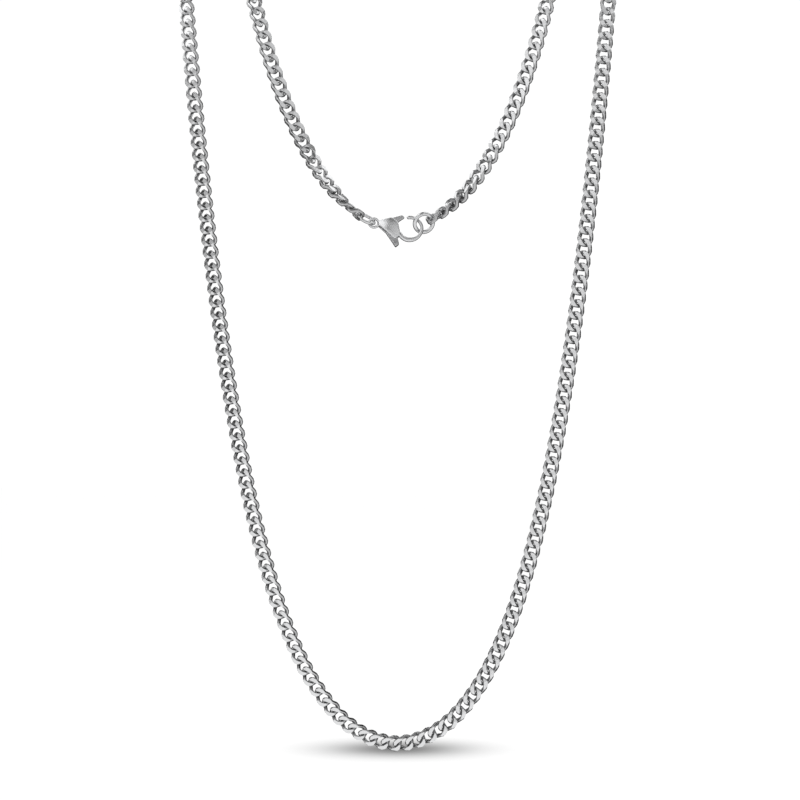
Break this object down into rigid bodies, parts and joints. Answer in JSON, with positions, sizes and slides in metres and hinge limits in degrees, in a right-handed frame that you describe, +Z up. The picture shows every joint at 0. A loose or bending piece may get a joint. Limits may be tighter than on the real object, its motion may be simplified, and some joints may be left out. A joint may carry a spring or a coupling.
{
  "type": "curb chain necklace",
  "caption": "Curb chain necklace of flat twisted steel links, closed by a lobster claw clasp with a hinged lever, held by a small end ring and hooked into a round jump ring, shown hanging as a double loop.",
  "frame": {"origin": "midway between the two rests that the necklace hangs on, at the height where the chain turns over", "axes": "+Z up, -Y toward the viewer of the front, +X to that viewer's right"},
  "size_m": [0.0895, 0.0042, 0.1783],
  "materials": {
    "chain_steel": "polished, with ground flats on the links",
    "clasp_steel": "satin cast face with softened edges",
    "lever_steel": "satin, tumbled",
    "ring_steel": "polished round wire"
  },
  "bodies": {
    "necklace": {"chain_left": "chain_steel", "chain_right": "chain_steel", "turn_left": "chain_steel", "turn_right": "chain_steel", "clasp_body": "clasp_steel", "clasp_pin": "lever_steel", "jump_ring": "ring_steel", "end_ring": "ring_steel"},
    "lever": {"clasp_lever": "lever_steel"}
  },
  "joints": [
    {"name": "lever_hinge", "type": "hinge", "parent": "necklace", "child": "lever", "pos_m": [-0.00181, -0.00021, -0.06738], "axis": [0, 0.9397, -0.342], "range_deg": [0, 25], "stiffness_Nm_per_rad": 0.0005}
  ]
}
